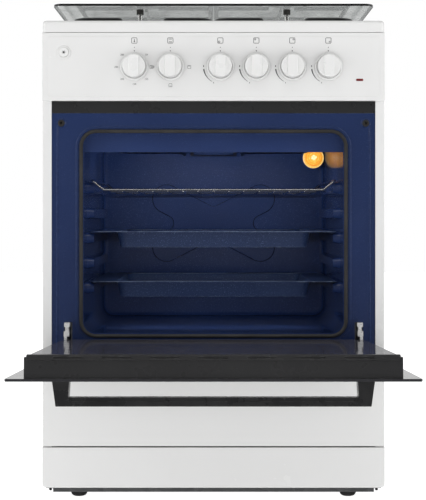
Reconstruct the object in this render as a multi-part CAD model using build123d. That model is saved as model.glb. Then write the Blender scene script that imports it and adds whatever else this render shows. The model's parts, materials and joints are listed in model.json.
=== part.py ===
from build123d import *
import os
from math import cos, radians, sin

# Freestanding gas range with an electric oven, a glass lid and a drop-down door.
# Cabinet frame: X to the right, Y from the control panel's face to the back, Z up
# from the floor. The oven door is stored open and the lid closed.

# ---- driving dimensions, mm ----
width = 600.0
depth = 600.0
sheet = 1.0
hob_top = 841.0
foot_height = 9.0
base_floor = 24.0
plinth_low = 22.4
plinth_high = 93.0
drawer_gap = 2.0
drawer_high = 214.0
crossrail_low = 217.0
frame_low = 244.0
frame_high = 678.8
panel_low = 700.0
panel_high = 819.5
flange_width = 15.5
flange_y = 8.0
frame_y = 10.0

cavity_width = 456.0
cavity_height = 350.5
cavity_low = 292.0
cavity_depth = 415.0
cavity_corner = 23.0
cavity_back_round = 10.0
rib_projection = 12.3
rib_height = 22.0
rib_front = 68.0
rib_length = frame_y + cavity_depth - 40 - rib_front
shelf_low = 380.7
shelf_pitch = 44.9
shelf_levels = 5
slide_gap = 0.3

hinge_y = -10.0
hinge_z = 270.0
door_open_angle = 87.5
door_low = 258.0
door_high = 697.0
door_inner_y = 3.0
door_thickness = 38.5
door_glass_width = width - 5
door_frame_width = width - 60
inner_glass_width = door_frame_width - 16
glass = 4.0
hinge_x = cavity_width / 2 + 28
hinge_arm_thickness = 8.0
hinge_pin_radius = 3.0
running_gap = 0.05

handle_length = 470.0
handle_reach = 39.5
handle_bar_depth = 13.0
handle_band = 7.4
handle_bar_height = 22.0
handle_below_top = 32.0
handle_post_width = 25.4
handle_outer_taper = 5.7
handle_inner_taper = 1.5

knob_z = 759.2
knob_radius = 20.2
knob_skirt_radius = 24.0
knob_groove = 1.2
knob_skirt = 4.2
knob_face_y = -24.5
knob_ridge_y = -28.0
knob_ridge_width = 19.0
knob_gap = 3.8
push_travel = 3.0
thermostat_x = -138.6
selector_x = -75.5
burner_knob_x = (12.0, 75.0, 137.9, 201.1)
spindle_radius = 3.0
stem_radius = 4.0
stem_end_y = -17.0
button_x = 38 - width / 2
button_z = 784.7
button_radius = 8.5
lamp_x = width / 2 - 44
lamp_z = 736.6

burner_x = 127.35
burner_front_y = 165.0
burner_rear_y = 430.0
burner_names = ("front_left", "rear_left", "rear_right", "front_right")
burner_places = (
    (-burner_x, burner_front_y),
    (-burner_x, burner_rear_y),
    (burner_x, burner_rear_y),
    (burner_x, burner_front_y),
)
cap_radii = (48.0, 37.0, 37.0, 27.0)
cup_body_radius = 18.0
hob_recess = 8.0
hob_rim = 15.0
hob_rear_rim = 40.0
support_half = burner_x - 5.4
support_front_y = 65.0
support_rear_y = depth - 70
support_z = 851.0
support_rod = 4.0
support_finger = 3.6
support_leg = 3.2
support_gap_half = 41.4
finger_end = 24.0

lid_width = width - 33
lid_front_y = 18.0
lid_rear_y = depth - 25
lid_low = 869.0
lid_axis_y = lid_rear_y + 8
lid_axis_z = 860.0
lid_hinge_x = 200.0

drawer_depth = depth - 130
drawer_box_low = 97.0
drawer_box_high = 200.0
drawer_box_half = width / 2 - flange_width - 6.5

tray_half = cavity_width / 2 - 7
tray_front_y = 60.0
tray_length = frame_y + cavity_depth - 15 - tray_front_y
tray_flange = 24.0
tray_body_half = tray_half - 44
tray_depth = 29.0
tray_taper = 14.0
shelf_wire_z = 545.0
shelf_flat_half = cavity_width / 2 - 30.5
shelf_half = cavity_width / 2 - 10
shelf_rod = 2.4
shelf_wire = 1.5
shelf_wire_count = 13
shelf_wire_pitch = 2 * (shelf_flat_half - 33.7) / (shelf_wire_count - 1)

foot_x = width / 2 - 60.5
foot_front_y = 45.0
foot_rear_y = depth - 45
foot_radius = 14.5
inlet_x = width / 2 - 38
inlet_radius = 10.48
inlet_length = 20.0
pipe_radius = 8.0
pipe_y = 60.0
valve_front_y = 14.0
gland_x = -215.0
gland_z = 90.0
gland_bore = 5.0
bracket_hole_x = 120.0
bracket_hole_z = 560.0

oven_lamp_z = 617.3
lens_radius = 21.3
holder_radius = 14.0
element_z = 626.0
element_radius = 3.3
terminal_x = 60.0
insulation_side = 17.0
insulation_back = 30.0
screw_places = (-245.0, 0.0, 247.0)
cup_bottom = 812.0
crown_top = 841.0
plug_front_y = 24.0
plug_length = 20.0
plug_radius = 7.0
plug_taper = 4.0
knuckle_half = 9.0
ear_thickness = 2.4

# ---- places that follow from them ----
half = width / 2
inner_half = half - flange_width
cavity_half = cavity_width / 2
cavity_high = cavity_low + cavity_height
cavity_z = (cavity_low + cavity_high) / 2
cavity_back = frame_y + cavity_depth
liner_front = frame_y + sheet
liner_back = cavity_back - cavity_back_round - 4.0
hob_surface = hob_top - hob_recess
door_outer_y = door_inner_y - door_thickness
oven_lamp_x = cavity_half - 23
lens_front = cavity_back - 41
lens_back = cavity_back - 23
insulation_half = cavity_half + insulation_side
valve_back = pipe_y - pipe_radius
arm_low_x = hinge_x - 4.0
arm_high_x = arm_low_x + hinge_arm_thickness
pocket_low_x = arm_low_x - 6.0
pocket_high_x = arm_high_x + 3.5
pocket_top = hinge_z + 12.0
slot_top = hinge_z + 41.5
levels = [shelf_low + i * shelf_pitch for i in range(shelf_levels)]
rib_tops = [level - sheet - slide_gap for level in levels]


# ---- shape helpers ----
def block(x0, x1, y0, y1, z0, z1):
    size = Box(x1 - x0, y1 - y0, z1 - z0)
    return Pos((x0 + x1) / 2, (y0 + y1) / 2, (z0 + z1) / 2) * size


def slab_y(wide, high, corner, y0, y1, x=0.0, z=0.0, taper=0.0):
    plane = Plane(origin=(x, y0, z), x_dir=(1, 0, 0), z_dir=(0, 1, 0))
    return extrude(plane * RectangleRounded(wide, high, corner), amount=y1 - y0, taper=taper)


def slab_z(wide, deep, corner, z0, z1, x=0.0, y=0.0):
    return Pos(x, y, z0) * extrude(RectangleRounded(wide, deep, corner), amount=z1 - z0)


def disc_x(radius, x0, x1, y, z):
    plane = Plane(origin=(x0, y, z), x_dir=(0, 1, 0), z_dir=(1, 0, 0))
    return extrude(plane * Circle(radius), amount=x1 - x0)


def disc_y(radius, y0, y1, x, z, taper=0.0):
    plane = Plane(origin=(x, y0, z), x_dir=(1, 0, 0), z_dir=(0, 1, 0))
    return extrude(plane * Circle(radius), amount=y1 - y0, taper=taper)


def disc_z(radius, z0, z1, x, y, taper=0.0):
    return Pos(x, y, z0) * extrude(Circle(radius), amount=z1 - z0, taper=taper)


def rod(points, radius, bend, closed=False):
    path = FilletPolyline(*points, radius=bend, close=closed)
    start = Plane(origin=path @ 0, z_dir=path % 0)
    return sweep(start * Circle(radius), path=path)


def bar(start, end, radius):
    line = Vector(*end) - Vector(*start)
    return extrude(Plane(origin=start, z_dir=line) * Circle(radius), amount=line.length)


def both_sides(shape):
    return [shape, mirror(shape, about=Plane.YZ)]


def group(shapes):
    solids = []
    for shape in shapes:
        solids += shape.solids()
    return Compound(children=solids)


# ---- cabinet ----
def side_panel():
    panel = block(half - sheet, half, flange_y, depth - sheet, plinth_low, panel_high)
    panel += block(inner_half, half, flange_y, flange_y + sheet, plinth_low, panel_high)
    panel += block(inner_half, inner_half + sheet, flange_y, flange_y + 14, plinth_low, panel_high)
    rear_flange = 18.0
    panel += block(half - rear_flange, half, depth - 2 * sheet, depth - sheet, plinth_low, panel_high)
    upright = panel.edges().filter_by(Axis.Z).group_by(Axis.Y)[0]
    outer = upright.sort_by(Axis.X)[-1]
    return fillet(outer, 0.9 * sheet)


def back_panel():
    panel = block(-half + sheet, half - sheet, depth - sheet, depth, base_floor, panel_high)
    slot_wide, slot_high, rows, columns = 52.0, 5.0, 4, 6
    for row in range(rows):
        for column in range(columns):
            x = (column - (columns - 1) / 2) * (slot_wide + 18)
            z = cavity_high + 40 + row * 16
            panel -= slab_y(slot_wide, slot_high, 2.4, depth - 3, depth + 1, x, z)
    for x in (-bracket_hole_x, bracket_hole_x):
        panel -= disc_y(3.0, depth - 3, depth + 1, x, bracket_hole_z)
    panel -= disc_y(pipe_radius + 2.5, depth - 3, depth + 1, inlet_x, knob_z)
    panel -= disc_y(gland_bore + 4.2, depth - 3, depth + 1, gland_x, gland_z)
    return panel


def base_pan():
    rail_half = half - flange_width
    front = flange_y + 14.5
    pan = block(-half + 1.5, half - 1.5, front, depth - 2.5, base_floor, base_floor + sheet)
    rail_wide = 30.0
    for centre in (foot_front_y, foot_rear_y):
        low, high = centre - rail_wide / 2, centre + rail_wide / 2
        pan += block(-rail_half, rail_half, low, high, foot_height, foot_height + sheet)
        pan += block(-rail_half, rail_half, low, low + sheet, foot_height, base_floor)
        pan += block(-rail_half, rail_half, high - sheet, high, foot_height, base_floor)
        for x in (-foot_x, foot_x):
            pan -= disc_z(5.2, 0, base_floor + 10, x, centre)
    return pan


def drawer_runners():
    wall, front, foot = drawer_box_half + 2.5, flange_y + 15.5, base_floor + sheet
    ledge = drawer_box_low - 0.5
    runner = block(wall, wall + 1.5, front, drawer_depth, foot, ledge + 20)
    runner += block(wall - 14, wall, front, drawer_depth, ledge - 1.5, ledge)
    runner += block(wall - 14, wall, front, drawer_depth, foot, foot + 1.5)
    return group(both_sides(runner))


def adjustable_feet():
    feet = []
    for x in (-foot_x, foot_x):
        for y in (foot_front_y, foot_rear_y):
            foot = disc_z(foot_radius, 0, foot_height, x, y)
            foot = fillet(foot.edges().group_by(Axis.Z)[0], foot_height - 2)
            foot += disc_z(5.0, foot_height, base_floor + 12, x, y)
            feet.append(foot)
    clip = block(half - 20.5, half - 5.5, flange_y + 0.5, flange_y + 12, plinth_low - 2.5, plinth_low)
    clip += disc_z(2.4, plinth_low - 7, plinth_low - 2.5, half - 13, flange_y + 6)
    return group(feet + both_sides(clip))


def tray_front(x_half, y0, y1, z0, z1, corner, edge):
    panel = block(-x_half, x_half, y0, y1, z0, z1)
    inside = block(-x_half + sheet, x_half - sheet, y0 + sheet, y1 + 1, z0 + sheet, z1 - sheet)
    lower = panel.edges().filter_by(Axis.Y).group_by(Axis.Z)[0]
    panel = fillet(lower, corner)
    lower = inside.edges().filter_by(Axis.Y).group_by(Axis.Z)[0]
    inside = fillet(lower, corner - 0.5)
    panel = fillet(panel.faces().sort_by(Axis.Y)[0].edges(), edge)
    return panel - inside


def plinth_panel():
    return tray_front(half, 0, flange_y, plinth_low, plinth_high, 8.0, 0.9)


def lower_crossrail():
    x = inner_half - 0.3
    rail = block(-x, x, frame_y, frame_y + sheet, crossrail_low, frame_low)
    rail += block(-x, x, frame_y, frame_y + 20, crossrail_low, crossrail_low + sheet)
    return rail


def oven_front_frame():
    x = inner_half - 0.3
    plate = block(-x, x, frame_y, liner_front, frame_low, frame_high)
    plate += block(-x, x, frame_y, frame_y + 14, frame_high - sheet, frame_high)
    buffer_x, buffer_z = inner_half - 17, frame_high - 17.5
    ridge_x, ridge_half = x - 9.4, 1.9
    ridge_low, ridge_high = frame_low + 2, buffer_z - 6
    rise = 1.2
    ring_out, ring_in, ring_round = 14.3, 9.9, 37.0
    rings = slab_y(
        cavity_width + 2 * ring_out, cavity_height + 2 * ring_out, ring_round, frame_y, frame_y - rise,
        0, cavity_z, 45
    )
    rings -= slab_y(
        cavity_width + 2 * ring_in, cavity_height + 2 * ring_in, ring_round - 4, frame_y + 1, frame_y - 4,
        0, cavity_z
    )
    plate += rings
    for side in (-1, 1):
        ridge = slab_y(
            2 * ridge_half, ridge_high - ridge_low, 1.4, frame_y, frame_y - rise, side * ridge_x,
            (ridge_low + ridge_high) / 2, 45
        )
        collar = disc_y(8.6, frame_y, frame_y - rise, side * buffer_x, buffer_z, 45)
        plate += ridge + collar
        plate -= disc_y(6.3, frame_y - 3, frame_y, side * buffer_x, buffer_z)
    plate -= slab_y(cavity_width, cavity_height, cavity_corner, 0, 30, 0, cavity_z)
    for side in (-1, 1):
        slot_low = frame_low + 3
        slot_x = side * (hinge_x - 0.6)
        plate -= slab_y(14.2, slot_top - slot_low, 2, 0, 30, slot_x, (slot_low + slot_top) / 2)
        plate -= disc_y(5.0, 0, 30, side * buffer_x, buffer_z)
    return plate


def rib(top):
    centre_y = rib_front + rib_length / 2
    centre_z = top - rib_height / 2
    plane = Plane(origin=(cavity_half + sheet, centre_y, centre_z), x_dir=(0, 1, 0), z_dir=(-1, 0, 0))
    outer = RectangleRounded(rib_length, rib_height, rib_height * 0.45)
    inner = RectangleRounded(rib_length - 3 * sheet, rib_height - 3 * sheet, rib_height * 0.35)
    skin = extrude(plane * outer, amount=rib_projection + sheet, taper=12)
    hollow = extrude(plane * inner, amount=rib_projection, taper=12)
    return skin, hollow


def oven_liner():
    grow = 2 * sheet
    corner = cavity_corner + sheet
    liner = slab_y(cavity_width + grow, cavity_height + grow, corner, liner_front, liner_back, 0, cavity_z)
    space = slab_y(cavity_width, cavity_height, cavity_corner, 0, liner_back + 5, 0, cavity_z)
    liner -= space
    lip = slab_y(cavity_width, cavity_height, cavity_corner, 21, 21 + sheet, 0, cavity_z)
    lip_low = cavity_high - 31.5
    lip = lip & block(-cavity_half, cavity_half, 20, 23, lip_low, cavity_high)
    liner += lip
    for top in rib_tops:
        skin, hollow = rib(top)
        for part in both_sides(skin):
            liner += part
        for part in both_sides(hollow):
            liner -= part
    return liner


def oven_back_wall():
    grow = 2 * sheet
    back, corner = cavity_back + sheet, cavity_corner + sheet
    wall = slab_y(cavity_width + grow, cavity_height + grow, corner, liner_back, back, 0, cavity_z)
    wall = fillet(wall.faces().sort_by(Axis.Y)[-1].edges(), cavity_back_round)
    space = slab_y(cavity_width, cavity_height, cavity_corner, liner_back - 1, cavity_back, 0, cavity_z)
    space = fillet(space.faces().sort_by(Axis.Y)[-1].edges(), cavity_back_round - sheet)
    wall -= space
    emboss = 4.0
    lobe_x, lobe_z, lobe_radius = 97.0, 50.0, 31.0
    centre_z = cavity_z + 16
    length = 2 * (lobe_x**2 + lobe_z**2) ** 0.5
    plane = Plane(origin=(0, back, centre_z), x_dir=(1, 0, 0), z_dir=(0, -1, 0))
    tilt = 27.3
    lobes = Rot(0, 0, tilt) * SlotCenterToCenter(length, 2 * lobe_radius)
    lobes += Rot(0, 0, -tilt) * SlotCenterToCenter(length, 2 * lobe_radius)
    lobes = fillet(lobes.vertices().sort_by_distance((0, 0))[:4], 14)
    wall += extrude(plane * lobes, amount=emboss + sheet, taper=30)
    inner = offset(lobes, amount=-2 * sheet)
    wall -= extrude(plane * inner, amount=emboss, taper=30)
    wall -= disc_y(14.4, cavity_back - 30, back + 5, oven_lamp_x, oven_lamp_z)
    for x in (-terminal_x, terminal_x):
        wall -= disc_y(element_radius + 0.5, cavity_back - 30, back + 5, x, element_z)
    return wall


def oven_insulation():
    low, high = frame_low + 8, frame_high - 10
    wool = block(-insulation_half, insulation_half, frame_y + 6, cavity_back + insulation_back, low, high)
    room_width, room_back = cavity_width + 2 * sheet + 0.6, cavity_back + sheet + 0.3
    wool -= slab_y(room_width, cavity_height + 32, cavity_corner, 0, room_back, 0, cavity_z)
    wool -= disc_y(14.4, cavity_back - 5, depth, oven_lamp_x, oven_lamp_z)
    for x in (-terminal_x, terminal_x):
        wool -= disc_y(element_radius + 0.5, cavity_back - 5, depth, x, element_z)
    return wool


def oven_gasket():
    outer_grow, inner_grow = 2 * 7.8, 2 * 1.0
    front = door_inner_y + 0.5
    seal = slab_y(cavity_width + outer_grow, cavity_height + outer_grow, 29, front, frame_y, 0, cavity_z)
    seal = fillet(seal.faces().sort_by(Axis.Y)[0].edges(), 2.5)
    seal -= slab_y(cavity_width + inner_grow, cavity_height + inner_grow, 23.5, 0, 30, 0, cavity_z)
    return seal


def door_buffers():
    x, z = inner_half - 17, frame_high - 17.5
    buffer = disc_y(6.1, frame_y - 2, frame_y, x, z)
    buffer = fillet(buffer.faces().sort_by(Axis.Y)[0].edges(), 1.2)
    buffer += disc_y(4.6, frame_y - 5.5, frame_y + 4, x, z)
    buffer -= disc_y(2.5, frame_y - 6, frame_y, x, z)
    return group(both_sides(buffer))


def vent_trim():
    x = inner_half - 0.3
    low, high = frame_high + 0.2, panel_low - 0.3
    trim = block(-x, x, frame_y, frame_y + sheet, low, high)
    trim += block(-x, x, frame_y, frame_y + 16, low, low + sheet)
    trim += block(-x, x, frame_y, frame_y + 16, high - sheet, high)
    for place in screw_places:
        trim -= disc_y(2.1, 0, 20, place, high - 7.5)
    return trim


def trim_screws():
    screws = []
    z = panel_low - 0.3 - 7.5
    for x in screw_places:
        screw = disc_y(3.6, frame_y - 1.8, frame_y, x, z)
        screw = fillet(screw.faces().sort_by(Axis.Y)[0].edges(), 1.2)
        screw += disc_y(2.0, frame_y, frame_y + 9, x, z)
        screws.append(screw)
    return group(screws)


def control_panel():
    step = 0.6
    panel = tray_front(half, step, flange_y, panel_low, panel_high, 1.5, 0.9)
    field_high, field_low = panel_high - 7, panel_low + 7
    middle = (field_high + field_low) / 2
    field = slab_y(width - 19, field_high - field_low, 5, 0, step, 0, middle)
    field = fillet(field.faces().sort_by(Axis.Y)[0].edges(), 0.5)
    panel += field
    bezel = disc_y(button_radius + 3.5, -1.2, 0, button_x, button_z)
    bezel = fillet(bezel.faces().sort_by(Axis.Y)[0].edges(), 0.8)
    panel += bezel
    panel -= disc_y(button_radius + 0.3, -5, 10, button_x, button_z)
    for x in (thermostat_x, selector_x) + burner_knob_x:
        panel -= disc_y(5.5, -5, 10, x, knob_z)
    panel -= slab_y(12.2, 4.2, 1.1, -5, 10, lamp_x, lamp_z)
    return panel


# ---- hob ----
def hob_top_sheet():
    front, rear = 0.0, depth - 2.0
    low = panel_high + 0.5
    middle_y = (front + rear) / 2
    long = rear - front
    hob = slab_z(width, long, 9, low, hob_top, 0, middle_y)
    hob = fillet(hob.faces().sort_by(Axis.Z)[-1].edges(), 6.0)
    t = 1.2
    hob -= slab_z(width - 2 * t, long - 2 * t, 8, low - 1, hob_surface - t, 0, middle_y)
    recess_front, recess_rear = front + hob_rim, rear - hob_rear_rim
    recess_y = (recess_front + recess_rear) / 2
    recess_long = recess_rear - recess_front
    rim_space = slab_z(width - 2 * t, long - 2 * t, 8, hob_surface - 2 * t, hob_top - t, 0, middle_y)
    rim_space = fillet(rim_space.faces().sort_by(Axis.Z)[-1].edges(), 5.0)
    island = slab_z(
        width - 2 * hob_rim + 2 * t, recess_long + 2 * t, 16 + t, hob_surface - 3 * t, hob_top, 0, recess_y
    )
    hob -= rim_space - island
    dish = slab_z(width - 2 * hob_rim, recess_long, 16, hob_surface, hob_top + 1, 0, recess_y)
    hob -= dish
    for place, cap in zip(burner_places, cap_radii):
        hob -= disc_z(cup_body_radius + 0.3, low, hob_top + 1, *place)
        for pin in electrode_places(place, cap):
            hob -= disc_z(2.6, low, hob_top + 1, *pin)
    return hob


def electrode_places(place, cap):
    reach = cap + 6.0
    return [
        (place[0] + reach * cos(radians(angle)), place[1] + reach * sin(radians(angle)))
        for angle in (65.0, 115.0)
    ]


def burner_cups():
    cups = []
    for place, cap in zip(burner_places, cap_radii):
        cup = disc_z(cup_body_radius, cup_bottom, hob_surface, *place)
        cup += disc_z(cap - 4, hob_surface, hob_surface + 3, *place)
        cup += disc_z(cap - 7, hob_surface + 3, crown_top, *place)
        cup -= disc_z(cap - 12, hob_surface + 4, crown_top + 1, *place)
        cup -= disc_z(cup_body_radius - 5, cup_bottom + 2, crown_top, *place)
        ports = int(cap * 0.6)
        for port in range(ports):
            cut = block(cap - 14, cap, -0.9, 0.9, crown_top - 4, crown_top + 1)
            cup -= Pos(place[0], place[1], 0) * Rot(0, 0, 360 / ports * port) * cut
        cups.append(cup)
    return group(cups)


def burner_caps():
    caps = []
    for place, radius in zip(burner_places, cap_radii):
        cap = disc_z(radius, crown_top, crown_top + 5, *place)
        cap = fillet(cap.faces().sort_by(Axis.Z)[-1].edges(), 3.5)
        cap += disc_z(radius - 12.3, crown_top - 3, crown_top, *place)
        caps.append(cap)
    return group(caps)


def burner_electrodes():
    pins = []
    for place, cap in zip(burner_places, cap_radii):
        spark, probe = electrode_places(place, cap)
        body = disc_z(2.4, hob_surface - 18, hob_surface + 6, *spark)
        body += disc_z(1.0, hob_surface + 6, hob_surface + 12, *spark)
        pins.append(body)
        sensor = disc_z(2.4, hob_surface - 18, hob_surface + 3, *probe)
        sensor += disc_z(1.7, hob_surface + 3, hob_surface + 13, *probe)
        pins.append(sensor)
    return group(pins)


def pan_support(side):
    centre = side * burner_x
    z = support_z
    reach = finger_end
    frame = None
    for hand in (-1, 1):
        edge = centre + hand * support_half
        gap = centre + hand * support_gap_half
        points = [
            (gap, burner_front_y - 36, z),
            (gap, support_front_y, z),
            (edge, support_front_y, z),
            (edge, support_rear_y, z),
            (gap, support_rear_y, z),
            (gap, burner_rear_y + 36, z),
        ]
        loop = rod(points, support_rod, [6, 25, 25, 6])
        frame = loop if frame is None else frame + loop
        for y in (burner_front_y, burner_rear_y):
            frame += bar((centre + hand * reach, y, z), (edge + hand, y, z), support_finger)
        for y in (support_front_y + 40, support_rear_y - 40):
            frame += bar((edge, y, hob_surface), (edge, y, z + 1), support_leg)
    middle = (burner_front_y + burner_rear_y) / 2
    wide = support_half + 1
    frame += bar((centre - wide, middle, z), (centre + wide, middle, z), support_finger)
    frame += bar((centre, burner_front_y + reach, z), (centre, burner_rear_y - reach, z), support_leg)
    return frame


def pan_supports():
    return group([pan_support(-1), pan_support(1)])


def gas_manifold():
    rise = knob_z
    start = burner_knob_x[0] - 20
    points = [(start, pipe_y, rise), (inlet_x, pipe_y, rise), (inlet_x, depth + 2, rise)]
    pipe = rod(points, pipe_radius, 30)
    pipe += disc_y(inlet_radius, depth + 2, depth + inlet_length + 2, inlet_x, rise)
    points = [(start + 3, pipe_y, rise), (inlet_x, pipe_y, rise), (inlet_x, depth + inlet_length + 4, rise)]
    pipe -= rod(points, pipe_radius - 2, 30)
    for x in burner_knob_x:
        pipe -= disc_y(5.1, pipe_y - pipe_radius - 2, pipe_y, x, rise)
    return pipe


def tap_plug(x, gap=0.0):
    plug_end = plug_front_y + plug_length + gap
    plug = disc_y(plug_radius + gap, plug_front_y - gap, plug_end, x, knob_z, plug_taper)
    return plug + disc_y(stem_radius + gap, stem_end_y - gap, plug_front_y, x, knob_z)


def flatted_plug(x):
    plug = tap_plug(x)
    flat = stem_radius - 1.2
    return plug - block(x - 6, x + 6, stem_end_y - 1, 0, knob_z + flat, knob_z + 8)


def gas_valves():
    valves = []
    for x in burner_knob_x:
        body = block(x - 13, x + 13, valve_front_y, valve_back, knob_z - 14, knob_z + 14)
        body = fillet(body.edges().filter_by(Axis.Y), 4)
        body += disc_y(9, flange_y + 1, valve_front_y, x, knob_z)
        body += disc_y(5.0, valve_back, valve_back + 2.5, x, knob_z)
        body += disc_z(5.0, knob_z + 14, knob_z + 20, x, 35)
        body -= tap_plug(x, running_gap)
        valves.append(body)
    return group(valves)


def burner_tubes():
    tubes = []
    start_z = knob_z + 20
    heights = (start_z + 11, start_z + 21, start_z + 21, start_z + 10)
    for x, place, height in zip(burner_knob_x, burner_places, heights):
        target_x, target_y = place
        points = [(x, 35, start_z), (x, 35, height), (x, target_y, height)]
        points += [(target_x, target_y, height), (target_x, target_y, cup_bottom)]
        bend = min(8.0, (cup_bottom - height) * 0.8, abs(target_x - x) * 0.45)
        tubes.append(rod(points, 3.0, bend))
    return group(tubes)


def oven_controls():
    bodies = []
    for x, size in ((thermostat_x, 22.0), (selector_x, 20.0)):
        body = block(x - size, x + size, valve_front_y, valve_front_y + 34, knob_z - 19, knob_z + 19)
        body = fillet(body.edges().filter_by(Axis.Y), 3)
        body += disc_y(7, flange_y + 1, valve_front_y, x, knob_z)
        body -= disc_y(spindle_radius + running_gap, 0, 31, x, knob_z)
        bodies.append(body)
    switch = disc_y(9, 16, 34, button_x, button_z)
    switch -= disc_y(4.1, 15, 28, button_x, button_z)
    bodies.append(switch)
    return group(bodies)


def indicator_lens():
    lens = slab_y(12, 4, 1, -0.8, 12, lamp_x, lamp_z)
    return fillet(lens.faces().sort_by(Axis.Y)[0].edges(), 0.5)


# ---- oven fittings ----
def top_element():
    z = element_z
    back = cavity_back + insulation_back + 12
    front, rear, hanger_y = 110.0, cavity_back - 95, cavity_back - 155
    outer, inner = cavity_half - 45, cavity_half - 120
    points = [(-terminal_x, back, z), (-terminal_x, rear, z), (-outer, rear, z), (-outer, front, z)]
    points += [(-inner, front, z), (-inner, hanger_y, z), (inner, hanger_y, z), (inner, front, z)]
    points += [(outer, front, z), (outer, rear, z), (terminal_x, rear, z), (terminal_x, back, z)]
    element = rod(points, element_radius, 22)
    for x in (-42, 42):
        element += block(x - 3, x + 3, hanger_y - 1, hanger_y + 1, element_z - 9, cavity_high)
    element += block(-45, 45, hanger_y - 3, hanger_y + 3, element_z - 11, element_z - 9)
    return element


def bottom_element():
    z = cavity_low - sheet - 8
    front, rear, outer = 90.0, cavity_back - 95, cavity_half - 50
    points = [(-terminal_x, cavity_back - 5, z), (-terminal_x, rear, z)]
    points += [(-outer, rear, z), (-outer, front, z)]
    points += [(outer, front, z), (outer, rear, z), (terminal_x, rear, z), (terminal_x, cavity_back - 5, z)]
    element = rod(points, element_radius, 25)
    for x in (-terminal_x, terminal_x):
        element += block(x - 5, x + 5, front - 8, front + 8, z, cavity_low - sheet)
    return element


def oven_lamp_lens():
    dome = disc_y(lens_radius, lens_front, lens_back, oven_lamp_x, oven_lamp_z)
    dome = fillet(dome.faces().sort_by(Axis.Y)[0].edges(), 15)
    hollow = disc_y(lens_radius - 2, lens_front + 2, lens_back + 1, oven_lamp_x, oven_lamp_z)
    hollow = fillet(hollow.faces().sort_by(Axis.Y)[0].edges(), 13)
    return dome - hollow


def oven_lamp_holder():
    collar = disc_y(lens_radius, lens_back, lens_back + 5, oven_lamp_x, oven_lamp_z)
    socket_end = cavity_back + insulation_back + 14
    socket = disc_y(holder_radius, lens_back + 5, socket_end, oven_lamp_x, oven_lamp_z)
    bulb = Pos(oven_lamp_x, lens_back - 6, oven_lamp_z) * Sphere(9)
    bulb += disc_y(6, lens_back - 6, lens_back, oven_lamp_x, oven_lamp_z)
    return group([collar + socket, bulb])


# ---- door hinges ----
def hinge_receiver():
    x0, x1 = arm_low_x - 3.2, arm_high_x + 3.4
    y0, y1 = liner_front + 0.4, 95.0
    z0, z1 = frame_low + 2, hinge_z + 50
    box = block(x0, x1, y0, y1, z0, z1)
    box -= block(x0 + sheet, x1 - sheet, y0 - 1, y1 - sheet, z0 + sheet, z1 - sheet)
    ear = block(x0, x0 + ear_thickness, hinge_y, y0 + 40, hinge_z - 6, hinge_z + 6)
    ear += disc_x(6, x0, x0 + ear_thickness, hinge_y, hinge_z)
    pin = disc_x(hinge_pin_radius, x0, arm_high_x + 1.5, hinge_y, hinge_z)
    return box + ear + pin


def hinge_receivers():
    return group(both_sides(hinge_receiver()))


def hinge_arm():
    frame_face = door_inner_y - glass - sheet
    arm = block(arm_low_x, arm_high_x, -18, frame_face, hinge_z, hinge_z + 100)
    arm += disc_x(8, arm_low_x, arm_high_x, hinge_y, hinge_z)
    tail_low, tail_high, reach = hinge_z - 15, hinge_z - 4, hinge_y + 42
    outer_face = arm_high_x + 1.1
    arm += block(arm_high_x - 3.6, outer_face, hinge_y, hinge_y + 20, tail_low, tail_high)
    arm += block(arm_low_x + 0.4, outer_face + 0.6, hinge_y + 18, hinge_y + 27, tail_low, tail_high)
    arm += block(arm_low_x + 1.2, arm_high_x - 0.9, hinge_y + 26, reach - 4, tail_low, tail_high)
    arm += block(arm_low_x - 0.5, outer_face, hinge_y + 34.5, reach, tail_low, tail_high)
    arm -= disc_x(hinge_pin_radius + running_gap, arm_low_x - 2, arm_high_x + 2, hinge_y, hinge_z)
    return arm


# ---- door, drawn closed and then turned to its open rest ----
def pockets(y0, y1):
    pocket = block(pocket_low_x, pocket_high_x, y0, y1, door_low - 5, pocket_top)
    return both_sides(pocket)


def door_outer_glass():
    middle = (door_low + door_high) / 2
    high = door_high - door_low
    pane = slab_y(door_glass_width, high, 4, door_outer_y, door_outer_y + glass, 0, middle)
    return chamfer(pane.faces().sort_by(Axis.Y)[0].edges(), 0.6)


def door_frame():
    x = door_frame_width / 2
    z0, z1 = door_low + 4, door_high - 3
    front, rear = door_outer_y + glass, door_inner_y - glass
    frame = block(-x, x, front, rear, z0, z1)
    frame -= block(-x + sheet, x - sheet, front + sheet, rear - sheet, z0 + sheet, z1 - sheet)
    window = 48.0
    frame -= slab_y(2 * (x - window), z1 - z0 - 2 * window, 12, front - 1, rear + 1, 0, (z0 + z1) / 2)
    for pocket in pockets(rear - sheet - 0.5, rear + 2):
        frame -= pocket
    for pocket in pockets(front + 6, rear - sheet):
        frame -= pocket & block(-x, x, front, rear, door_low - 5, z0 + 2 * sheet)
    return frame


def door_inner_glass():
    x = inner_glass_width / 2
    z0, z1 = door_low + 12, door_high - 10
    pane = slab_y(2 * x, z1 - z0, 6, door_inner_y - glass, door_inner_y, 0, (z0 + z1) / 2)
    for pocket in both_sides(block(pocket_low_x, x + 5, -10, 10, door_low - 5, pocket_top)):
        pane -= pocket
    return chamfer(pane.faces().sort_by(Axis.Y)[-1].edges(), 0.5)


def door_top_trim():
    x = inner_glass_width / 2 + 4
    strip = 8.3
    trim = block(-x, x, door_inner_y - strip, door_inner_y, door_high - 3, door_high)
    trim += block(-x, x, door_inner_y - glass, door_inner_y, door_high - 9.7, door_high - 3)
    trim = fillet(trim.edges().filter_by(Axis.X).group_by(Axis.Z)[-1], 1.4)
    slot_pitch, slot_long, slot_wide, slots = 69.0, 43.0, 3.0, 7
    for slot in range(slots):
        place = (slot - (slots - 1) / 2) * slot_pitch
        slot_y = door_inner_y - strip / 2
        trim -= slab_z(slot_long, slot_wide, 1.4, door_high - 2.2, door_high + 1, place, slot_y)
    return trim


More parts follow.
